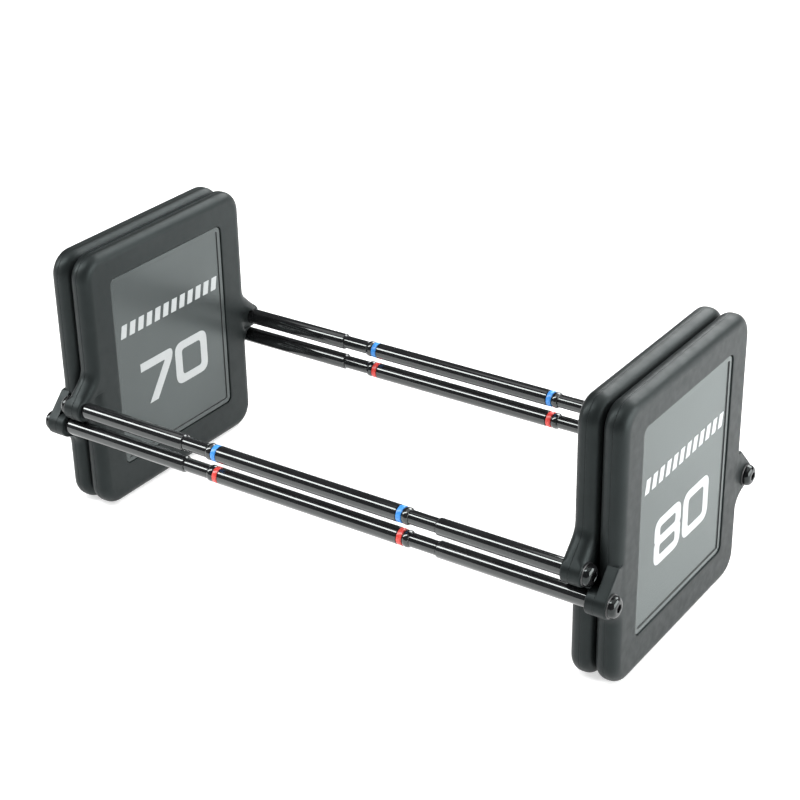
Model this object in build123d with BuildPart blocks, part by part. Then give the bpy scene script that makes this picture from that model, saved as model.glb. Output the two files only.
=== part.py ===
from build123d import *
import math
import os

os.makedirs("parts", exist_ok=True)

# Two nested sets of add-on plates for a block dumbbell. Each set is a pair of coated steel plates
# held apart by two rods, and the inner set stands between the plates of the outer set.
# +X runs along the rods, the front is -Y, +Z is up. The origin is on the floor, at the middle.
# All sizes are in millimetres.

# Coated plates
plate_width = 167.0
plate_height = 190.0
plate_thick = 16.1
plate_corner_r = 17.0
plate_edge_flat = 2.1  # left flat between the roundings of the two faces
plate_gap = 0.7  # clearance between a plate and the next one out
outer_plate_x = 210.4  # middle of the outer plate's thickness

# Steel core inside each coating
core_thick = 7.5
core_border = 8.0  # rubber round the core's edge
core_corner_r = 10.0
core_tab_r = 6.0

# Rods
rod_d = 11.4
rod_drop = 27.4  # outer set's rods below the middle of the plates
rod_end_chamfer = 0.8
rod_entry_clearance = 0.2  # on the radius, where the rod enters its ear
neck_d = 9.4
neck_from = 80.0
neck_to = 99.6
neck_taper = 1.6  # length of the cone at each end of the neck
band_x = 72.9
band_width = 3.7
band_d = 11.2
band_seat_d = 9.8
band_side_gap = 0.5

# Screws and washers
screw_d = 7.9
screw_hole_clearance = 0.15  # on the radius, in the rubber and the washer
screw_head_d = 14.0
screw_head_height = 4.4
screw_rim = 0.8
screw_crown_d = 7.0
screw_reach = 12.0  # how far the rod is bored for the screw
screw_end_gap = 0.5
socket_size = 5.0  # across the flats
socket_depth = 2.6
washer_margin = 0.6  # washer beyond the screw head, on the radius
washer_thick = 0.9
washer_edge = 0.25

# Ears that carry the rod ends
ear_margin = 0.9  # ear beyond the washer, on the radius
ear_back_step = 2.05  # ear's inner face below the plate's
ear_front_step = 0.25  # ear's outer face below the plate's
ear_flank_angle = 46.0
ear_depth = 10.0  # how far the ear runs into the plate
outer_foot_r = 12.0
inner_foot_clearance = 2.8  # hollow foot of the inner ear round the outer set's rod
inner_shoulder_r = 11.0
nested_head_clearance = 0.7  # inner set's screw heads above the outer set's ears

# Number panels, on both faces of every plate
panel_width = 117.6
panel_height = 141.6
panel_corner_r = 4.5
panel_gap = 0.5  # groove left round the panel
panel_sink = 0.8  # how far the panel's border lies below the plate's face
panel_rise = 2.6  # middle of the panel above the middle of the plate
field_inset = 3.4  # width of the border round the panel's sunk field
field_depth = 0.7
field_corner_r = 3.2

plate_edge_r = (plate_thick - plate_edge_flat) / 2
washer_d = screw_head_d + 2 * washer_margin
ear_r = washer_d / 2 + ear_margin
ear_back = plate_thick / 2 - ear_back_step  # from the middle of the plate's thickness
ear_front = plate_thick / 2 - ear_front_step
inner_foot_r = rod_d / 2 + inner_foot_clearance
side_y = plate_width / 2
mid_z = plate_height / 2
rod_y = side_y + ear_r
outer_rod_z = mid_z - rod_drop
inner_rod_z = outer_rod_z + ear_r + screw_head_d / 2 + nested_head_clearance
inner_plate_x = outer_plate_x - plate_thick - plate_gap
panel_z = mid_z + panel_rise
core_face = core_thick / 2
rod_ends = ((-rod_y, "front"), (rod_y, "back"))
plate_sides = ((-1, "left"), (1, "right"))


def facing_plane(x, facing):
    """Plane across the rods at x. Its own Y is up and its normal points along X, to facing (1 or -1)."""
    return Plane(origin=(x, 0, 0), x_dir=(0, facing, 0), z_dir=(facing, 0, 0))


def on_circle(centre, radius, angle):
    return (centre[0] + radius * math.cos(angle), centre[1] + radius * math.sin(angle))


def ear_outline(plane, axis_z, foot_r, shoulder_r):
    """Outline of the back ear: a sloping flank, a round boss and a hollow foot on the plate's side."""
    flank = math.radians(ear_flank_angle)
    root = side_y - ear_depth
    axis = (rod_y, axis_z)
    boss_top = on_circle(axis, ear_r, math.pi / 2 - flank)
    shoulder = (side_y, boss_top[1] + (boss_top[0] - side_y) * math.tan(flank))
    foot_y = side_y + foot_r
    foot = (foot_y, axis_z - math.sqrt((ear_r + foot_r) ** 2 - (foot_y - rod_y) ** 2))
    foot_angle = math.atan2(foot[1] - axis_z, foot_y - rod_y)
    boss_foot = on_circle(axis, ear_r, foot_angle)
    boss_middle = on_circle(axis, ear_r, (math.pi / 2 - flank + foot_angle) / 2)
    foot_middle = on_circle(foot, foot_r, foot_angle / 2 + math.pi)
    foot_end = (side_y, foot[1])
    top = [(root, shoulder[1])]
    if shoulder_r > 0:
        rise = shoulder_r * math.tan(math.pi / 4 - flank / 2) + 0.5
        top = [(root, shoulder[1] + rise), (side_y, shoulder[1] + rise)]
    with BuildSketch(plane) as outline:
        with BuildLine():
            Polyline(*top, shoulder, boss_top)
            ThreePointArc(boss_top, boss_middle, boss_foot)
            ThreePointArc(boss_foot, foot_middle, foot_end)
            Polyline(foot_end, (root, foot_end[1]), top[0])
        make_face()
        if shoulder_r > 0:
            fillet(outline.vertices().sort_by_distance((*shoulder, 0))[0], shoulder_r)
    return outline.sketch


def make_inner_ears(frame):
    """The inner set's pair of ears, full thickness, with rounded shoulders."""
    outline = ear_outline(frame.offset(-ear_back), inner_rod_z, inner_foot_r, inner_shoulder_r)
    with BuildPart() as ears:
        extrude(outline, amount=ear_back + ear_front)
        mirror(about=Plane.XZ)
    return ears.part


def make_outer_ears(frame):
    """The outer set's pair of ears. Above the boss only the outer half is there, so that the inner
    set's screw heads can stand in front of it."""
    outline = ear_outline(frame, outer_rod_z, outer_foot_r, 0)
    with BuildSketch(frame.offset(-ear_back)) as boss:
        add(ear_outline(Plane.XY, outer_rod_z, outer_foot_r, 0))
        with Locations((rod_y, outer_rod_z + plate_height / 2)):
            Rectangle(plate_width, plate_height, mode=Mode.SUBTRACT)
        with Locations((rod_y, outer_rod_z)):
            Circle(ear_r)
    with BuildPart() as ears:
        extrude(outline, amount=ear_front)
        extrude(boss.sketch, amount=ear_back)
        mirror(about=Plane.XZ)
    return ears.part


def make_core(frame, axis_z):
    """Flat steel plate with a tab and a screw hole at each ear."""
    tab_places = [(y, axis_z) for y, _ in rod_ends]
    with BuildPart() as core:
        with BuildSketch(frame.offset(-core_face)):
            with Locations((0, mid_z)):
                RectangleRounded(plate_width - 2 * core_border, plate_height - 2 * core_border, core_corner_r)
            with Locations((0, axis_z - core_tab_r / 2)):
                Rectangle(2 * rod_y, core_tab_r)
            with Locations(*tab_places):
                Circle(core_tab_r)
                Circle(screw_d / 2, mode=Mode.SUBTRACT)
        extrude(amount=core_thick)
    return core.part


def make_cover(frame, axis_z, ears, core):
    """Rubber coating moulded round the core, open at the number panels and at the rod ends."""
    bore_places = [(y, axis_z) for y, _ in rod_ends]
    with BuildPart() as cover:
        with BuildSketch(frame.offset(-plate_thick / 2)):
            with Locations((0, mid_z)):
                RectangleRounded(plate_width, plate_height, plate_corner_r)
        extrude(amount=plate_thick)
        fillet(cover.faces().filter_by(Axis.X).edges(), plate_edge_r)
        add(ears)
        with BuildSketch(frame.offset(-plate_thick / 2)):
            with Locations((0, panel_z)):
                RectangleRounded(
                    panel_width + 2 * panel_gap, panel_height + 2 * panel_gap, panel_corner_r + panel_gap
                )
        extrude(amount=plate_thick, mode=Mode.SUBTRACT)
        with BuildSketch(frame):
            with Locations(*bore_places):
                Circle(rod_d / 2 + rod_entry_clearance)
        extrude(amount=-plate_thick, mode=Mode.SUBTRACT)
        with BuildSketch(frame):
            with Locations(*bore_places):
                Circle(screw_d / 2 + screw_hole_clearance)
        extrude(amount=plate_thick, mode=Mode.SUBTRACT)
        add(core, mode=Mode.SUBTRACT)
    return cover.part


def make_panel(x, facing):
    """Number panel standing on the core, with a raised border round a sunk field."""
    border_face = plate_thick / 2 - panel_sink
    field_width = panel_width - 2 * field_inset
    field_height = panel_height - 2 * field_inset
    frame = facing_plane(x, facing)
    with BuildPart() as panel:
        with BuildSketch(frame.offset(core_face)):
            with Locations((0, panel_z)):
                RectangleRounded(panel_width, panel_height, panel_corner_r)
        extrude(amount=border_face - core_face)
        with BuildSketch(frame.offset(border_face)):
            with Locations((0, panel_z)):
                RectangleRounded(field_width, field_height, field_corner_r)
        extrude(amount=-field_depth, mode=Mode.SUBTRACT)
    return panel.part


def make_rod(plate_x, y, z):
    """Turned steel rod, alike at both ends, bored for the screws and grooved for the bands."""
    end = plate_x - core_face
    r = rod_d / 2
    groove_half = band_width / 2 + band_side_gap
    plane = Plane(origin=(0, y, z), x_dir=(1, 0, 0), z_dir=(0, 0, 1))
    with BuildPart() as rod:
        with BuildSketch(plane):
            with BuildLine():
                Polyline(
                    (0, 0),
                    (0, r),
                    (band_x - groove_half, r),
                    (band_x - groove_half, band_seat_d / 2),
                    (band_x + groove_half, band_seat_d / 2),
                    (band_x + groove_half, r),
                    (neck_from - neck_taper, r),
                    (neck_from, neck_d / 2),
                    (neck_to, neck_d / 2),
                    (neck_to + neck_taper, r),
                    (end - rod_end_chamfer, r),
                    (end, r - rod_end_chamfer),
                    (end, screw_d / 2),
                    (end - screw_reach, screw_d / 2),
                    (end - screw_reach, 0),
                    (0, 0),
                )
            make_face()
        revolve(axis=Axis((0, y, z), (1, 0, 0)))
        mirror(about=Plane.YZ)
    return rod.part


def make_band(side, y, z):
    """Coloured ring that marks the set, seated in the rod's groove."""
    with BuildPart() as band:
        with BuildSketch(facing_plane(side * band_x, side).offset(-band_width / 2)):
            with Locations((side * y, z)):
                Circle(band_d / 2)
                Circle(band_seat_d / 2, mode=Mode.SUBTRACT)
        extrude(amount=band_width)
    return band.part


def make_screw(plate_x, side, y, z):
    """Button-head screw with a hexagon socket, through the core's tab into the rod."""
    seat = ear_front + washer_thick
    shank = seat + core_face + screw_reach - screw_end_gap
    crown = (screw_head_height, screw_crown_d / 2)
    rim = (screw_rim, screw_head_d / 2)
    bulge = ((crown[0] + rim[0]) / 2 + 0.75, (crown[1] + rim[1]) / 2 + 0.75)
    origin = (side * (plate_x + seat), y, z)
    with BuildPart() as screw:
        with BuildSketch(Plane(origin=origin, x_dir=(side, 0, 0), z_dir=(0, 0, side))):
            with BuildLine():
                Polyline(
                    (crown[0], 0),
                    (-shank, 0),
                    (-shank, screw_d / 2 - 0.8),
                    (-shank + 0.8, screw_d / 2),
                    (0, screw_d / 2),
                    (0, rim[1]),
                    rim,
                )
                ThreePointArc(rim, bulge, crown)
                Line(crown, (crown[0], 0))
            make_face()
        revolve(axis=Axis(origin, (1, 0, 0)))
        with BuildSketch(facing_plane(side * (plate_x + seat + screw_head_height), side)):
            with Locations((side * y, z)):
                RegularPolygon(socket_size / 2, 6, major_radius=False)
        extrude(amount=-socket_depth, mode=Mode.SUBTRACT)
    return screw.part


def make_washer(plate_x, side, y, z):
    """Thin washer between the ear and the screw head."""
    with BuildPart() as washer:
        with BuildSketch(facing_plane(side * plate_x, side).offset(ear_front)):
            with Locations((side * y, z)):
                Circle(washer_d / 2)
                Circle(screw_d / 2 + screw_hole_clearance, mode=Mode.SUBTRACT)
        extrude(amount=washer_thick)
        rims = washer.edges().filter_by(GeomType.CIRCLE).sort_by(SortBy.RADIUS)[-2:]
        chamfer(rims, washer_edge)
    return washer.part


def write_piece(part, name):
    part.label = name
    export_step(part, f"parts/{name}.step")


sets = (
    ("outer", outer_plate_x, outer_rod_z, make_outer_ears),
    ("inner", inner_plate_x, inner_rod_z, make_inner_ears),
)

for set_name, plate_x, rod_z, make_ears in sets:
    for side, side_name in plate_sides:
        frame = facing_plane(side * plate_x, side)
        core = make_core(frame, rod_z)
        cover = make_cover(frame, rod_z, make_ears(frame), core)
        write_piece(core, f"{set_name}_core_{side_name}")
        write_piece(cover, f"{set_name}_cover_{side_name}")
        write_piece(make_panel(side * plate_x, side), f"{set_name}_panel_{side_name}_out")
        write_piece(make_panel(side * plate_x, -side), f"{set_name}_panel_{side_name}_in")
        for y, end_name in rod_ends:
            place = f"{side_name}_{end_name}"
            write_piece(make_band(side, y, rod_z), f"{set_name}_band_{place}")
            write_piece(make_screw(plate_x, side, y, rod_z), f"{set_name}_screw_{place}")
            write_piece(make_washer(plate_x, side, y, rod_z), f"{set_name}_washer_{place}")
    for y, end_name in rod_ends:
        write_piece(make_rod(plate_x, y, rod_z), f"{set_name}_rod_{end_name}")
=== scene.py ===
import bpy
import numpy as np
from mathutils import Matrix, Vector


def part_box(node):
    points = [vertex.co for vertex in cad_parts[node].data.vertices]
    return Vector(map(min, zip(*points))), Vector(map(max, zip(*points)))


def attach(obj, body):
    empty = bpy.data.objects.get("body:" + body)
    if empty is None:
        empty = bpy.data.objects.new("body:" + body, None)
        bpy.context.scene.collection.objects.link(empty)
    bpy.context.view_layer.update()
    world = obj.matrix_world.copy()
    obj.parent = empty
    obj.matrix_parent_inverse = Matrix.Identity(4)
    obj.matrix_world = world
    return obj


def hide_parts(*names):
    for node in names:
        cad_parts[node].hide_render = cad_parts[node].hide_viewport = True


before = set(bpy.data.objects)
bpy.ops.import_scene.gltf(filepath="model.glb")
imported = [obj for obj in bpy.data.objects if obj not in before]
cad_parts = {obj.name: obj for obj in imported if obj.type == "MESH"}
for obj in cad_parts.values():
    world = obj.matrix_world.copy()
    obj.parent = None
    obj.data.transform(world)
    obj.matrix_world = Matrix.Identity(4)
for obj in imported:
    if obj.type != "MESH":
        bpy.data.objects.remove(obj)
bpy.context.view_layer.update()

# ---- Steel cores ----
# A flat laser-cut steel plate lies inside each rubber coating and carries the weight. It is a rolled
# plate with mill scale left on, and nothing of it is seen once the rubber is moulded round it.


def blank_finish(name):
    """A material with one Principled shader, and the place on the piece in metres."""
    material = bpy.data.materials.new(name)
    material.use_nodes = True
    nodes, links = material.node_tree.nodes, material.node_tree.links
    place = nodes.new("ShaderNodeTexCoord").outputs["Object"]
    return material, nodes, links, nodes["Principled BSDF"], place


def mottle(nodes, links, place, grains_per_metre, detail=3.0, stretch=None):
    """Noise of that many grains to the metre, from 0 to 1, with the place stretched first if asked."""
    if stretch is not None:
        scaled = nodes.new("ShaderNodeVectorMath")
        scaled.operation = "MULTIPLY"
        scaled.inputs[1].default_value = stretch
        links.new(place, scaled.inputs[0])
        place = scaled.outputs["Vector"]
    noise = nodes.new("ShaderNodeTexNoise")
    noise.inputs["Scale"].default_value = grains_per_metre
    noise.inputs["Detail"].default_value = detail
    links.new(place, noise.inputs["Vector"])
    return noise.outputs["Fac"]


def between(nodes, links, amount, low, high, start=0.3, stop=0.7):
    """A number that goes from low to high as amount goes from start to stop."""
    ramp = nodes.new("ShaderNodeMapRange")
    for socket, value in (("From Min", start), ("From Max", stop), ("To Min", low), ("To Max", high)):
        ramp.inputs[socket].default_value = value
    links.new(amount, ramp.inputs["Value"])
    return ramp.outputs["Result"]


def two_tone(nodes, links, amount, dark, light):
    """A colour that goes from dark to light as amount goes from 0.3 to 0.7."""
    mix = nodes.new("ShaderNodeMix")
    mix.data_type = "RGBA"
    mix.inputs["A"].default_value = (*dark, 1)
    mix.inputs["B"].default_value = (*light, 1)
    links.new(between(nodes, links, amount, 0.0, 1.0), mix.inputs["Factor"])
    return mix.outputs["Result"]


def relief(nodes, links, height, depth, strength, under=None):
    """Small bumps, depth metres high, laid over the bumps under them."""
    bump = nodes.new("ShaderNodeBump")
    bump.inputs["Distance"].default_value = depth
    bump.inputs["Strength"].default_value = strength
    links.new(height, bump.inputs["Height"])
    if under is not None:
        links.new(under, bump.inputs["Normal"])
    return bump.outputs["Normal"]


mill_steel, nodes, links, shader, place = blank_finish("mill_steel")
scale_patches = mottle(nodes, links, place, 45, 6)
scale_colour = two_tone(nodes, links, scale_patches, (0.16, 0.165, 0.17), (0.3, 0.31, 0.32))
links.new(scale_colour, shader.inputs["Base Color"])
links.new(between(nodes, links, scale_patches, 0.34, 0.55), shader.inputs["Roughness"])
links.new(relief(nodes, links, mottle(nodes, links, place, 900), 0.00005, 0.4), shader.inputs["Normal"])
shader.inputs["Metallic"].default_value = 0.9

for set_name in ("outer", "inner"):
    for side_name in ("left", "right"):
        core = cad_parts[f"{set_name}_core_{side_name}"]
        for slot in core.material_slots:
            slot.material = mill_steel

# ---- Rubber covers ----
# Each plate's coating is urethane rubber, moulded in two halves round its core: full rounded edges,
# a fine parting line round the middle, a window in each face, and an ear at each side that holds a
# rod's end. The inner set's ears run softly into the plate. The outer set's ears are full thickness
# only round the rod's end, and the rest is a web on the outer half.

rim_radius = 7.0
rim_flat = 1.05  # half of the flat left between the two roundings
corner_radius = 17.0
ear_edge_radius = {"outer": 0.8, "inner": 1.4}
ear_radius = 8.5
flank = np.radians(46.0)
ear_front_step = 0.25
ear_back_step = 2.05
foot_radius_of = {"outer": 12.0, "inner": 8.5}
shoulder_radius_of = {"outer": 0.5, "inner": 11.0}
web_leaves_boss = np.radians(150.0)
web_rise = 2.0
window_corner = 5.0
window_edge = 0.4
panel_clearance = 0.5
groove_depth = 0.18
parting_half = 0.28  # half width of the parting line at the surface


def box_mm(node):
    """The lowest and highest corners of a CAD node, in millimetres."""
    return np.array(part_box(node)) * 1000.0


def run(start, end, count, ear=(0.0, 0.0)):
    """Straight run of the outline: start + (end - start) t, for t evenly from 0 up to 1. Each point
    also has the outward normal, the run's direction turned a quarter clockwise, and how far it
    belongs to an ear, eased from the first value to the second by t t (3 - 2 t)."""
    t = np.arange(count) / count
    start, end = np.array(start, float), np.array(end, float)
    along = (end - start) / np.linalg.norm(end - start)
    ease = ear[0] + (ear[1] - ear[0]) * t * t * (3 - 2 * t)
    return np.column_stack(
        [start + (end - start) * t[:, None], np.tile([along[1], -along[0]], (count, 1)), ease]
    )


def turn(centre, radius, first, last, count, ear=(0.0, 0.0)):
    """Arc of the outline: centre + radius (cos a, sin a), for a evenly from first up to last. The
    outward normal is that ray, or its opposite where the arc turns clockwise round a hollow."""
    t = np.arange(count) / count
    a = first + (last - first) * t
    ray = np.column_stack([np.cos(a), np.sin(a)])
    ease = ear[0] + (ear[1] - ear[0]) * t * t * (3 - 2 * t)
    return np.column_stack([np.array(centre) + radius * ray, ray * np.sign(last - first), ease])


def both_halves(pieces, top):
    """The whole outline from its +Y half: the half, the point at the top, and the half mirrored in Y
    and taken backwards."""
    half = np.vstack(pieces + [top])
    other = half[::-1][1:-1] * [-1, 1, -1, 1, 1]
    return np.vstack([half, other])


edge_count = 10  # half of the top or bottom edge
corner_count = 14
side_counts = (10, 16, 40, 18, 18, 14)  # low side, foot, boss, flank, shoulder, high side


def cover_outlines(set_name, half_width, height, axis):
    """Outlines of the cover's outer half and inner half, going round anticlockwise, with the same
    number of points on each. axis is the place of the back rod, (y, z)."""
    low_n, foot_n, boss_n, flank_n, shoulder_n, high_n = side_counts
    soft = set_name == "inner"
    foot_radius = foot_radius_of[set_name]
    shoulder_radius = shoulder_radius_of[set_name]
    boss_end = np.pi / 2 - flank
    boss_top = axis + ear_radius * np.array([np.cos(boss_end), np.sin(boss_end)])
    corner = np.array([half_width, boss_top[1] + (boss_top[0] - half_width) * np.tan(flank)])
    reach = shoulder_radius * np.tan((np.pi / 2 - flank) / 2)
    shoulder_low = corner + reach * np.array([np.cos(flank), -np.sin(flank)])
    shoulder_high = corner + [0, reach]
    foot_y = half_width + foot_radius
    drop = np.sqrt((ear_radius + foot_radius) ** 2 - (foot_y - axis[0]) ** 2)
    foot = np.array([foot_y, axis[1] - drop])
    foot_angle = np.arctan2(-drop, foot_y - axis[0])
    r, w, h = corner_radius, half_width, height
    bottom = [
        run((0, 0), (w - r, 0), edge_count),
        turn((w - r, r), r, -np.pi / 2, 0, corner_count),
        run((w, r), (w, foot[1]), low_n),
        turn(foot, foot_radius, np.pi, foot_angle + np.pi, foot_n, (0, 1)),
        turn(axis, ear_radius, foot_angle, boss_end, boss_n, (1, 1)),
    ]
    crest = [
        turn((w - r, h - r), r, 0, np.pi / 2, corner_count),
        run((w - r, h), (0, h), edge_count),
    ]
    top = [[0, h, 0, 1, 0]]
    fade = (1.0, 0.15, 0.0) if soft else (1.0, 1.0, 1.0)
    partway = boss_top + (shoulder_low - boss_top) * (0.35 if soft else 0.5)
    hollow = shoulder_high + [shoulder_radius, 0]
    arm = [
        run(boss_top, partway, flank_n // 2, fade[:2]),
        run(partway, shoulder_low, flank_n // 2, fade[1:]),
        turn(hollow, shoulder_radius, np.pi + boss_end, np.pi, shoulder_n, (fade[2], 0)),
        run(shoulder_high, (w, h - r), high_n),
    ]
    outer_half = both_halves(bottom + arm + crest, top)
    if soft:
        return outer_half, outer_half
    leave = web_leaves_boss
    parting = axis + ear_radius * np.array([np.cos(leave), np.sin(leave)])
    meet = np.array([w, parting[1] + web_rise])
    round_top = [
        turn(axis, ear_radius, boss_end, leave, flank_n, (1, 1)),
        run(parting, meet, shoulder_n, (1, 0)),
        run(meet, (w, h - r), high_n),
    ]
    return outer_half, both_halves(bottom + round_top + crest, top)


def window_outline(outline, low, high):
    """The window's outline, a rounded rectangle with a point for each point of the cover's outline.
    Up the sides, a point's height is the cover point's height, carried evenly from the straight
    part of the plate's side to the straight part of the window's."""
    y1, z0, z1, r = high[0], low[1], high[1], window_corner
    count = sum(side_counts)
    first = edge_count + corner_count
    heights = outline[first : first + count, 1]
    span = (heights - heights[0]) / (outline[first + count, 1] - heights[0])
    side = np.zeros((count, 5))
    side[:, 0], side[:, 1], side[:, 2] = y1, z0 + r + span * (z1 - z0 - 2 * r), 1
    pieces = [
        run((0, z0), (y1 - r, z0), edge_count),
        turn((y1 - r, z0 + r), r, -np.pi / 2, 0, corner_count),
        side,
        turn((y1 - r, z1 - r), r, 0, np.pi / 2, corner_count),
        run((y1 - r, z1), (0, z1), edge_count),
    ]
    return both_halves(pieces, [[0, z1, 0, 1, 0]])


def cover_side(outline, window, half_width, half_thick, ear_step, ear_edge):
    """Rings of one half of a cover, from the parting line over the edge and the face to the middle of
    the window's wall, as (x from the middle of the plate, y, z).
    The edge: a quarter round of radius r, r going from the plate's to the ear's as the point becomes
    part of an ear. The face: straight across to the window, at the plate's height, or over an ear at
    the smooth maximum (a + b + sqrt((a - b)^2 + k^2)) / 2 of the plate's rounding and the ear's face."""
    flat, normal, ear = outline[:, :2], outline[:, 2:4], outline[:, 4]
    radius = rim_radius + (ear_edge - rim_radius) * ear
    ear_face = half_thick - ear_step
    soften = 0.5

    def face_height(y):
        depth = np.clip(half_width - np.abs(y), 0, rim_radius)
        rounding = rim_flat + np.sqrt(rim_radius**2 - (rim_radius - depth) ** 2)
        joined = (rounding + ear_face + np.sqrt((rounding - ear_face) ** 2 + soften**2)) / 2
        joined = np.minimum(joined - soften / 2 * np.exp(-np.abs(rounding - ear_face)), half_thick)
        return half_thick + (joined - half_thick) * ear

    inset = flat - radius[:, None] * normal
    crest = face_height(inset[:, 0])
    mouth = window[:, :2] + window_edge * window[:, 2:4]
    rings = []
    lip = 1.5 * parting_half
    parting_line = [(0.02, groove_depth), (parting_half / 2, groove_depth * 0.6), (parting_half, 0), (lip, 0)]
    for x, depth in parting_line:
        rings.append((np.full(len(flat), x), flat - depth * normal))
    for s in (0.5, 1.0):
        rings.append((lip + (crest - radius - lip) * s, flat))
    for a in np.radians(np.arange(10, 91, 10)):
        drawn_in = (radius * (1 - np.cos(a)))[:, None] * normal
        rings.append((crest - radius + radius * np.sin(a), flat - drawn_in))
    for s in (np.arange(1, 19) / 18) ** 1.4:
        across = inset + (mouth - inset) * s
        rings.append((face_height(across[:, 0]), across))
    for a in np.radians([30, 60, 90]):
        back = window[:, :2] + window_edge * (1 - np.sin(a)) * window[:, 2:4]
        rings.append((np.full(len(flat), half_thick - window_edge * (1 - np.cos(a))), back))
    for x in (3.0, 0.1):
        rings.append((np.full(len(flat), x), window[:, :2]))
    return np.array([np.column_stack([x, yz]) for x, yz in rings])


def skin(name, rings, finish, caps=False, sharp=35.0):
    """A closed mesh over a grid of rings, in millimetres. Each ring closes on itself, and the last
    ring joins the first, or each has a flat cap. Faces turn outwards by the sign of the volume."""
    ring_count, around = rings.shape[:2]
    index = np.arange(ring_count * around).reshape(ring_count, around)
    above = np.roll(index, -1, 0)
    if caps:
        index, above = index[:-1], above[:-1]
    quads = np.stack([index, np.roll(index, -1, 1), np.roll(above, -1, 1), above], -1).reshape(-1, 4)
    points = rings.reshape(-1, 3)
    a, b, c, d = (points[quads[:, k]] for k in range(4))
    volume = np.einsum("ij,ij->", a, np.cross(b, c)) + np.einsum("ij,ij->", a, np.cross(c, d))
    if caps:
        for ring, sign in ((rings[0], -1), (rings[-1], 1)):
            fan = np.cross(ring, np.roll(ring, -1, 0))
            volume += sign * np.einsum("j,ij->", ring.mean(0), fan)
    faces = quads.tolist()
    if caps:
        last = np.arange(around) + (ring_count - 1) * around
        faces += [list(range(around))[::-1], last.tolist()]
    if volume < 0:
        faces = [face[::-1] for face in faces]
    mesh = bpy.data.meshes.new(name)
    mesh.from_pydata((points / 1000.0).tolist(), [], faces)
    mesh.shade_smooth()
    mesh.set_sharp_from_angle(angle=np.radians(sharp))
    mesh.materials.append(finish)
    piece = bpy.data.objects.new(name, mesh)
    bpy.context.scene.collection.objects.link(piece)
    return piece


def fit(piece, set_name, node):
    """Puts the piece in its set's body and hides the CAD node whose place it takes."""
    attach(piece, f"{set_name}_set")
    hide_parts(node)


urethane, nodes, links, shader, place = blank_finish("urethane")
bloom = mottle(nodes, links, place, 22, 5)
grain = mottle(nodes, links, place, 1500, 4)
rubber_colour = two_tone(nodes, links, bloom, (0.0062, 0.0078, 0.0078), (0.0092, 0.0112, 0.0112))
links.new(rubber_colour, shader.inputs["Base Color"])
links.new(between(nodes, links, mottle(nodes, links, place, 160, 6), 0.4, 0.5), shader.inputs["Roughness"])
soft_waves = relief(nodes, links, mottle(nodes, links, place, 70, 2), 0.0002, 0.12)
links.new(relief(nodes, links, grain, 0.00006, 0.35, soft_waves), shader.inputs["Normal"])
shader.inputs["Specular IOR Level"].default_value = 0.26
shader.inputs["Specular Tint"].default_value = (0.84, 0.98, 0.98, 1)

for set_name in ("outer", "inner"):
    rod_low, rod_high = box_mm(f"{set_name}_rod_back")
    axis = (rod_low[1:] + rod_high[1:]) / 2
    for side_name, side in (("left", -1), ("right", 1)):
        node = f"{set_name}_cover_{side_name}"
        low, high = box_mm(node)
        panel_low, panel_high = box_mm(f"{set_name}_panel_{side_name}_out")
        half_thick = (high[0] - low[0]) / 2
        middle = (high[0] + low[0]) / 2
        half_width = axis[0] - ear_radius
        front, back = cover_outlines(set_name, half_width, high[2], axis)
        window_low, window_high = panel_low[1:] - panel_clearance, panel_high[1:] + panel_clearance
        ear_edge = ear_edge_radius[set_name]
        halves = []
        for outline, step in ((front, ear_front_step), (back, ear_back_step)):
            window = window_outline(outline, window_low, window_high)
            halves.append(cover_side(outline, window, half_width, half_thick, step, ear_edge))
        out, rear = halves
        rings = np.concatenate([out, rear[::-1] * [-1, 1, 1]])
        rings = rings * [side, 1, 1] + [middle, 0, 0]
        fit(skin(f"cover_{set_name}_{side_name}", rings, urethane), set_name, node)

# ---- Number panels ----
# Each face of a plate has an inset aluminium panel: a satin grey sheet with a raised border round a
# sunk field. It is pressed, has a fine brushed grain, and is glued to the core in the window.
# The panel's outer side wall and the step down from the border to the field are near black: painted shade.

border_width = 3.4
field_drop = 0.7
panel_corner = 4.5


def panel_ring(low, high, inset, height, count=12):
    """A rounded rectangle, inset all round from the panel's edge, at that height over the core. Its
    corners are quarter circles whose radius shrinks by the inset, down to 0.6."""
    r = max(panel_corner - inset, 0.6)
    y, z0, z1 = high[0] - inset, low[1] + inset, high[1] - inset
    pieces = [run((0, z0), (y - r, z0), 8), turn((y - r, z0 + r), r, -np.pi / 2, 0, count)]
    pieces += [run((y, z0 + r), (y, z1 - r), 8), turn((y - r, z1 - r), r, 0, np.pi / 2, count)]
    pieces += [run((y - r, z1), (0, z1), 8)]
    outline = both_halves(pieces, [[0, z1, 0, 1, 0]])
    return np.column_stack([np.full(len(outline), height), outline[:, :2]])


satin_panel, nodes, links, shader, place = blank_finish("satin_panel")
brushing = mottle(nodes, links, place, 2600, 2, (1.0, 0.5, 1.0))
cloud = mottle(nodes, links, place, 14, 3)
satin_colour = two_tone(nodes, links, cloud, (0.058, 0.066, 0.0655), (0.066, 0.076, 0.0755))
links.new(satin_colour, shader.inputs["Base Color"])
links.new(between(nodes, links, brushing, 0.24, 0.27), shader.inputs["Roughness"])
links.new(relief(nodes, links, brushing, 0.000001, 0.08), shader.inputs["Normal"])
shader.inputs["Metallic"].default_value = 0.35
shader.inputs["Specular Tint"].default_value = (0.92, 1.0, 0.985, 1)

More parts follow.
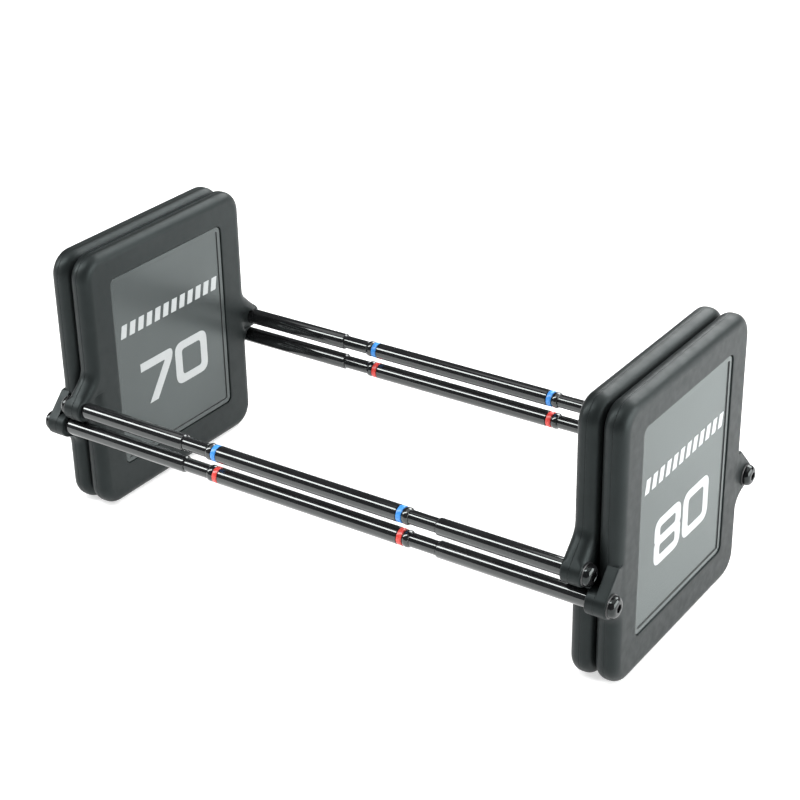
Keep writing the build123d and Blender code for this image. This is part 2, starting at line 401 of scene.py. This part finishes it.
# Near-black finish for the panel's walls: painted shade for the gap round the panel and for the step down to
# the field.
painted_shade_wall, nodes, links, shader, place = blank_finish("painted_shade_wall")
shade_mottle = mottle(nodes, links, place, 500, 3)
wall_shade_colour = two_tone(nodes, links, shade_mottle, (0.004, 0.004, 0.004), (0.009, 0.009, 0.009))
links.new(wall_shade_colour, shader.inputs["Base Color"])
links.new(between(nodes, links, shade_mottle, 0.5, 0.65), shader.inputs["Roughness"])
links.new(relief(nodes, links, shade_mottle, 0.00002, 0.3), shader.inputs["Normal"])

for set_name in ("outer", "inner"):
    for side_name, side in (("left", -1), ("right", 1)):
        for face_name, way in (("out", side), ("in", -side)):
            node = f"{set_name}_panel_{side_name}_{face_name}"
            low, high = box_mm(node)
            foot = low[0] if way > 0 else high[0]
            thick = high[0] - low[0]
            sunk = thick - field_drop
            edge = border_width
            # each step is how far in from the panel's edge, how high, and whether the wall up to the next is
            # near black with painted shade: the rim, the border, its inner wall and the field
            steps = [(0.0, 0.0, 1), (0.0, thick - 0.3, 0), (0.09, thick - 0.09, 0)]
            steps += [(0.3, thick, 0), (0.36, thick, 0)]
            steps += [(edge - 0.31, thick, 0), (edge - 0.25, thick, 0), (edge - 0.07, thick - 0.07, 1)]
            steps += [(edge, thick - 0.25, 1), (edge, sunk + 0.2, 1), (edge + 0.06, sunk + 0.06, 1)]
            steps += [(edge + 0.2, sunk, 0), (edge + 0.26, sunk, 0), (edge + 2.0, sunk, 0)]
            rings = np.array([panel_ring(low[1:], high[1:], inset, height) for inset, height, _ in steps])
            rings = rings * [way, 1, 1] + [foot, 0, 0]
            panel = skin(f"panel_{set_name}_{side_name}_{face_name}", rings, satin_panel, caps=True)
            # the walls flagged in steps take the near-black painted shade as the second material
            panel.data.materials.append(painted_shade_wall)
            shaded_walls = np.repeat([shaded for _, _, shaded in steps[:-1]], rings.shape[1])
            panel.data.polygons.foreach_set("material_index", np.append(shaded_walls, [1, 0]))
            fit(panel, set_name, node)

# ---- Printed marks ----
# White ink is screen-printed on each field: the weight that the set brings the dumbbell to, 80 on
# the outer set and 70 on the inner, under a row of plain slanted bars.

ink_thick = 0.03


def rounded_corners(corners, radii, steps=7):
    """A closed outline through the corners, each one cut back by its radius r and replaced by the
    curve (1 - t)^2 p + 2 t (1 - t) c + t^2 q from the point p before it to the point q after it."""
    corners = np.array(corners, float)
    t = np.linspace(0, 1, steps)[:, None]
    bends = []
    for before, corner, after, r in zip(np.roll(corners, 1, 0), corners, np.roll(corners, -1, 0), radii):
        p = corner + (before - corner) / np.linalg.norm(before - corner) * r
        q = corner + (after - corner) / np.linalg.norm(after - corner) * r
        bends.append((1 - t) ** 2 * p + 2 * t * (1 - t) * corner + t * t * q)
    return np.vstack(bends)


def frame_shape(y0, y1, z0, z1, r):
    """A rectangle with rounded corners."""
    return rounded_corners([(y0, z0), (y1, z0), (y1, z1), (y0, z1)], (r, r, r, r))


zero = [frame_shape(1.5, 37.0, 62.8, 95.5, 8.0), frame_shape(9.0, 29.8, 69.2, 89.2, 3.0)]
eight_edge = [(-36.5, 62.8), (-1.5, 62.8), (-1.5, 78.4), (-3.0, 79.6), (-1.5, 80.8), (-1.5, 95.5)]
eight_edge += [(-36.5, 95.5), (-36.5, 80.8), (-35.0, 79.6), (-36.5, 78.4)]
eight = [rounded_corners(eight_edge, (8, 8, 0.8, 0.8, 0.8, 8, 8, 0.8, 0.8, 0.8))]
eight += [frame_shape(-29.2, -8.8, 69.2, 76.4, 2.0), frame_shape(-29.2, -8.8, 82.6, 89.2, 2.0)]
seven_edge = [(-35.5, 95.5), (-0.5, 95.5), (-1.5, 87.5), (-19.6, 61.8)]
seven_edge += [(-28.6, 61.8), (-9.6, 89.0), (-35.5, 89.0)]
seven = [rounded_corners(seven_edge, (0.3, 5.0, 4.5, 0.3, 0.3, 0.8, 0.3))]
bar_count, bar_pitch, bar_width, bar_slant = 12, 8.9, 5.6, 2.0
bars_from, bar_foot, bar_head = -52.6, 121.2, 131.0
bars = []
for k in range(bar_count):
    y = bars_from + k * bar_pitch
    corners = [(y, bar_foot), (y + bar_width, bar_foot)]
    corners += [(y + bar_width + bar_slant, bar_head), (y + bar_slant, bar_head)]
    bars.append(rounded_corners(corners, (0.5,) * 4, 4))

white_ink, nodes, links, shader, place = blank_finish("white_ink")
screen = mottle(nodes, links, place, 1800, 3)
ink_colour = two_tone(nodes, links, screen, (0.37, 0.39, 0.39), (0.42, 0.44, 0.44))
links.new(ink_colour, shader.inputs["Base Color"])
links.new(between(nodes, links, screen, 0.42, 0.55), shader.inputs["Roughness"])
links.new(relief(nodes, links, screen, 0.00001, 0.3), shader.inputs["Normal"])

for set_name, digits in (("outer", eight + zero), ("inner", seven + zero)):
    for side_name, side in (("left", -1), ("right", 1)):
        for face_name, way in (("out", side), ("in", -side)):
            low, high = box_mm(f"{set_name}_panel_{side_name}_{face_name}")
            field = (high[0] - field_drop) if way > 0 else (low[0] + field_drop)
            shape = bpy.data.curves.new("marks", "CURVE")
            shape.dimensions, shape.fill_mode, shape.extrude = "2D", "BOTH", ink_thick
            for outline in digits + bars:
                spline = shape.splines.new("POLY")
                spline.points.add(len(outline) - 1)
                drawn_points = np.column_stack([outline, np.zeros(len(outline)), np.ones(len(outline))])
                spline.points.foreach_set("co", drawn_points.ravel())
                spline.use_cyclic_u = True
            drawn = bpy.data.objects.new("marks", shape)
            mesh = bpy.data.meshes.new_from_object(drawn)
            bpy.data.objects.remove(drawn)
            points = np.empty(len(mesh.vertices) * 3)
            mesh.vertices.foreach_get("co", points)
            across, up, out = points.reshape(-1, 3).T
            placed = np.column_stack([field + way * out, way * across, up]) / 1000.0
            mesh.vertices.foreach_set("co", placed.ravel())
            mesh.materials.clear()
            mesh.materials.append(white_ink)
            marks = bpy.data.objects.new(f"marks_{set_name}_{side_name}_{face_name}", mesh)
            bpy.context.scene.collection.objects.link(marks)
            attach(marks, f"{set_name}_set")

# ---- Rods ----
# Two turned steel rods hold each pair of plates apart. They are ground, polished and blackened. Near
# each end is a groove for the coloured band, a rounded collar, and a narrower neck with undercut ends.

neck_to = 99.6
neck_radius = 4.7
collar_middle, collar_half = 77.3, 2.4
undercut_radius = 4.5
band_middle = 72.9
groove_half = 2.35
seat_radius = 4.9


def turned(name, profile, axis_y, axis_z, finish, caps=True, around=64, sharp=30.0):
    """A round piece on an axis along X: each profile point (x, r) becomes the ring
    (x, axis_y + r cos a, axis_z + r sin a), for a evenly round the circle."""
    x, r = np.array(profile, float).T
    a = np.arange(around) / around * 2 * np.pi
    y = axis_y + r[:, None] * np.cos(a)
    z = axis_z + r[:, None] * np.sin(a)
    rings = np.stack([np.repeat(x[:, None], around, 1), y, z], -1)
    return skin(name, rings, finish, caps=caps, sharp=sharp)


black_steel, nodes, links, shader, place = blank_finish("black_steel")
lathe = mottle(nodes, links, place, 1000, 3, (1.0, 0.05, 0.05))
smudges = mottle(nodes, links, place, 60, 5)
rod_colour = two_tone(nodes, links, smudges, (0.006, 0.006, 0.0065), (0.012, 0.012, 0.013))
links.new(rod_colour, shader.inputs["Base Color"])
links.new(between(nodes, links, smudges, 0.08, 0.13), shader.inputs["Roughness"])
links.new(relief(nodes, links, lathe, 0.000001, 0.1), shader.inputs["Normal"])
shader.inputs["Specular IOR Level"].default_value = 0.8
shader.inputs["Specular Tint"].default_value = (0.94, 1.0, 0.98, 1)
shader.inputs["Coat Weight"].default_value = 0.3
shader.inputs["Coat Roughness"].default_value = 0.06

for set_name in ("outer", "inner"):
    for end_name in ("front", "back"):
        node = f"{set_name}_rod_{end_name}"
        low, high = box_mm(node)
        y, z = (low[1:] + high[1:]) / 2
        r, end = (high[2] - low[2]) / 2, high[0]
        half = [(band_middle - groove_half - 0.2, r), (band_middle - groove_half, r - 0.2)]
        half += [(band_middle - groove_half, seat_radius), (band_middle + groove_half, seat_radius)]
        half += [(band_middle + groove_half, r - 0.5)]
        a = np.radians(np.arange(130, -1, -10))
        bulge = undercut_radius + (r - undercut_radius) * np.sin(a)
        half += list(zip(collar_middle + collar_half * np.cos(a), bulge))
        neck_start = collar_middle + collar_half
        half += [(neck_start + 0.4, undercut_radius), (neck_start + 0.6, neck_radius)]
        half += [(neck_to - 0.7, neck_radius), (neck_to - 0.5, undercut_radius), (neck_to, undercut_radius)]
        half += [(neck_to + 0.1, r - 0.75), (neck_to + 0.8, r - 0.05), (neck_to + 1.0, r)]
        half += [(end - 0.8, r), (end, r - 0.8)]
        profile = [(-x, radius) for x, radius in half[::-1]] + half
        fit(turned(f"rod_{set_name}_{end_name}", profile, y, z, black_steel), set_name, node)

# ---- Marker bands ----
# A coloured plastic ring sits in each groove and tells which set the rod belongs to: blue for the
# inner set, red for the outer. It is moulded, a little softer than gloss, with rounded edges.

band_edge = 0.35

for set_name, dark, light in (
    ("outer", (0.66, 0.055, 0.045), (0.78, 0.075, 0.06)),
    ("inner", (0.045, 0.25, 0.68), (0.06, 0.31, 0.82)),
):
    plastic, nodes, links, shader, place = blank_finish(f"band_plastic_{set_name}")
    flow = mottle(nodes, links, place, 400, 3)
    links.new(two_tone(nodes, links, flow, dark, light), shader.inputs["Base Color"])
    links.new(between(nodes, links, flow, 0.22, 0.34), shader.inputs["Roughness"])
    links.new(relief(nodes, links, flow, 0.00002, 0.2), shader.inputs["Normal"])
    for side_name in ("left", "right"):
        for end_name in ("front", "back"):
            node = f"{set_name}_band_{side_name}_{end_name}"
            low, high = box_mm(node)
            y, z = (low[1:] + high[1:]) / 2
            r, x0, x1, e = (high[2] - low[2]) / 2, low[0], high[0], band_edge
            profile = [(x0, seat_radius), (x0, r - e), (x0 + 0.3 * e, r - 0.3 * e), (x0 + e, r)]
            profile += [(x1 - e, r), (x1 - 0.3 * e, r - 0.3 * e), (x1, r - e), (x1, seat_radius)]
            ring = turned(f"band_{set_name}_{side_name}_{end_name}", profile, y, z, plastic, caps=False)
            fit(ring, set_name, node)

# ---- Screws and washers ----
# A button-head screw with a hexagon socket goes through a washer, the ear and the core's tab into the
# bored end of each rod. Both are steel, blackened and oiled.

head_height = 4.4
rim_height = 0.8
crown_radius = 3.5
shank_radius = 3.95
socket_half = 2.5  # half the width across the socket's flats
socket_depth = 2.6
dome_rise = 1.06


def dome(rim, crown, rise, steps=12):
    """Arc from rim to crown, (x, r) points, standing proud of the line between them by rise: a circle
    of radius L^2 / (8 rise) + rise / 2, where L is the length of that line."""
    rim, crown = np.array(rim), np.array(crown)
    along = crown - rim
    length = np.linalg.norm(along)
    out = np.array([-along[1], along[0]]) / length
    radius = length**2 / (8 * rise) + rise / 2
    centre = (rim + crown) / 2 - out * (radius - rise)
    half = np.arcsin(length / 2 / radius)
    a = np.linspace(-half, half, steps)[:, None]
    return centre + radius * (np.cos(a) * out + np.sin(a) * along / length)


def button_screw(name, plate_face, side, tip, y, z, head_radius, finish, around=96):
    """A screw's rings: turned ones for the shank and head, and for the socket rings whose radius is
    the hexagon's, half width / cos(a - 60 k degrees), k being the nearest flat's number."""
    a = np.arange(around) / around * 2 * np.pi
    off = (a + np.pi / 6) % (np.pi / 3) - np.pi / 6
    hexagon = socket_half / np.cos(off)
    shank = [(tip, shank_radius - 0.8), (tip + 0.8, shank_radius), (0, shank_radius), (0, head_radius - 0.15)]
    crown = dome((rim_height, head_radius), (head_height, crown_radius), dome_rise)
    rings = [(x, np.full(around, r)) for x, r in shank + [(0.15, head_radius)]]
    rings += [(x, np.full(around, r)) for x, r in crown]
    socket_floor = head_height - socket_depth
    rings += [(head_height, hexagon + 0.22), (head_height - 0.2, hexagon), (socket_floor, hexagon)]
    rings += [(socket_floor - 0.5, np.full(around, 0.3))]
    grid = [np.column_stack([np.full(around, x), y + r * np.cos(a), z + r * np.sin(a)]) for x, r in rings]
    grid = np.array(grid) * [side, 1, 1] + [plate_face, 0, 0]
    return skin(name, grid, finish, caps=True, sharp=30.0)


black_screw, nodes, links, shader, place = blank_finish("black_screw")
oil = mottle(nodes, links, place, 350, 4)
screw_colour = two_tone(nodes, links, oil, (0.004, 0.004, 0.0045), (0.009, 0.009, 0.0095))
links.new(screw_colour, shader.inputs["Base Color"])
links.new(between(nodes, links, oil, 0.08, 0.15), shader.inputs["Roughness"])
links.new(relief(nodes, links, mottle(nodes, links, place, 2500, 2), 0.00001, 0.3), shader.inputs["Normal"])
shader.inputs["Specular IOR Level"].default_value = 0.45
shader.inputs["Specular Tint"].default_value = (0.9, 1.0, 0.98, 1)

black_washer, nodes, links, shader, place = blank_finish("black_washer")
stamping = mottle(nodes, links, place, 600, 4)
washer_colour = two_tone(nodes, links, stamping, (0.012, 0.012, 0.013), (0.026, 0.026, 0.027))
links.new(washer_colour, shader.inputs["Base Color"])
links.new(between(nodes, links, stamping, 0.28, 0.42), shader.inputs["Roughness"])
links.new(relief(nodes, links, stamping, 0.00002, 0.3), shader.inputs["Normal"])
shader.inputs["Specular IOR Level"].default_value = 0.7

for set_name in ("outer", "inner"):
    for side_name, side in (("left", -1), ("right", 1)):
        for end_name in ("front", "back"):
            place_name = f"{side_name}_{end_name}"
            node = f"{set_name}_washer_{place_name}"
            low, high = box_mm(node)
            y, z = (low[1:] + high[1:]) / 2
            r, x0, x1 = (high[2] - low[2]) / 2, low[0], high[0]
            profile = [(x0, 4.1), (x0, r - 0.25), (x0 + 0.25, r), (x1 - 0.25, r), (x1, r - 0.25), (x1, 4.1)]
            ring = turned(f"washer_{set_name}_{place_name}", profile, y, z, black_washer, caps=False)
            fit(ring, set_name, node)
            node = f"{set_name}_screw_{place_name}"
            seat = x1 if side > 0 else x0
            low, high = box_mm(node)
            tip = (low[0] - seat) if side > 0 else (seat - high[0])
            head_radius = (high[2] - low[2]) / 2
            name = f"screw_{set_name}_{place_name}"
            screw = button_screw(name, seat, side, tip, y, z, head_radius, black_screw)
            fit(screw, set_name, node)

# ---- Floor, light and camera ----
# A plain pale light table, softly lit from beneath, with a softbox behind, a strip above the front
# left, a wide key light low at the right for the outer faces, and a weak broad light overhead.

mesh = bpy.data.meshes.new("floor")
reach = 60.0
corners = [(-reach, -reach, 0), (reach, -reach, 0), (reach, reach, 0), (-reach, reach, 0)]
mesh.from_pydata(corners, [], [(0, 1, 2, 3)])
floor = bpy.data.objects.new("floor", mesh)
bpy.context.scene.collection.objects.link(floor)
pale_floor, nodes, links, shader, place = blank_finish("pale_floor")
haze = mottle(nodes, links, place, 2, 2)
floor_colour = two_tone(nodes, links, haze, (0.62, 0.62, 0.62), (0.64, 0.64, 0.64))
links.new(floor_colour, shader.inputs["Base Color"])
shader.inputs["Roughness"].default_value = 0.7
shader.inputs["Specular IOR Level"].default_value = 0.2
shader.inputs["Emission Color"].default_value = (1.0, 1.0, 1.0, 1)
shader.inputs["Emission Strength"].default_value = 0.62
mesh.materials.append(pale_floor)


def sight_axes(direction, up):
    """The right, upward and backward axes of a thing whose -Z points along direction, Y near up."""
    back = -np.array(direction, float) / np.linalg.norm(direction)
    right = np.cross(up, back)
    right /= np.linalg.norm(right)
    return right, np.cross(back, right), back


def aim(thing, place, direction, up=(0, 0, 1)):
    """Puts a light or the camera at place, looking along direction."""
    right, upward, back = sight_axes(direction, up)
    turned_by = np.eye(4)
    turned_by[:3, :3] = np.column_stack([right, upward, back])
    turned_by[:3, 3] = place
    thing.matrix_world = [tuple(float(v) for v in row) for row in turned_by.T]


for name, size, power, place, up in (
    ("back_softbox", (1.5, 0.8), 30, (0.15, 1.25, 1.05), (0, 0, 1)),
    ("front_strip", (1.8, 0.32), 24, (-0.75, -0.68, 1.1), (0, 1, 0)),
    ("right_key", (1.6, 0.9), 35, (1.5, 0.3, 0.5), (0, 0, 1)),
):
    light = bpy.data.lights.new(name, "AREA")
    light.shape, light.size, light.size_y, light.energy = "RECTANGLE", size[0], size[1], power
    lamp = bpy.data.objects.new(name, light)
    bpy.context.scene.collection.objects.link(lamp)
    aim(lamp, place, np.array([0, 0, 0.1]) - place, up)

light = bpy.data.lights.new("overhead", "SUN")
light.energy, light.angle = 1.1, np.radians(70)
lamp = bpy.data.objects.new("overhead", light)
bpy.context.scene.collection.objects.link(lamp)
aim(lamp, (0, 0, 2), (-0.1, -0.15, -1.0))

world = bpy.data.worlds.new("studio")
world.use_nodes = True
world.node_tree.nodes["Background"].inputs["Color"].default_value = (0.93, 0.97, 1.0, 1)
world.node_tree.nodes["Background"].inputs["Strength"].default_value = 0.12
bpy.context.scene.world = world
bpy.context.scene.view_settings.view_transform = "Standard"

lens = bpy.data.cameras.new("camera")
lens.sensor_width = 36.0
lens.lens = 84.3
camera = bpy.data.objects.new("camera", lens)
bpy.context.scene.collection.objects.link(camera)
aim(camera, (0.63451, -0.91106, 0.67014), (-0.50367, 0.73427, -0.45515), (-0.24128, 0.38633, 0.89024))
bpy.context.scene.camera = camera
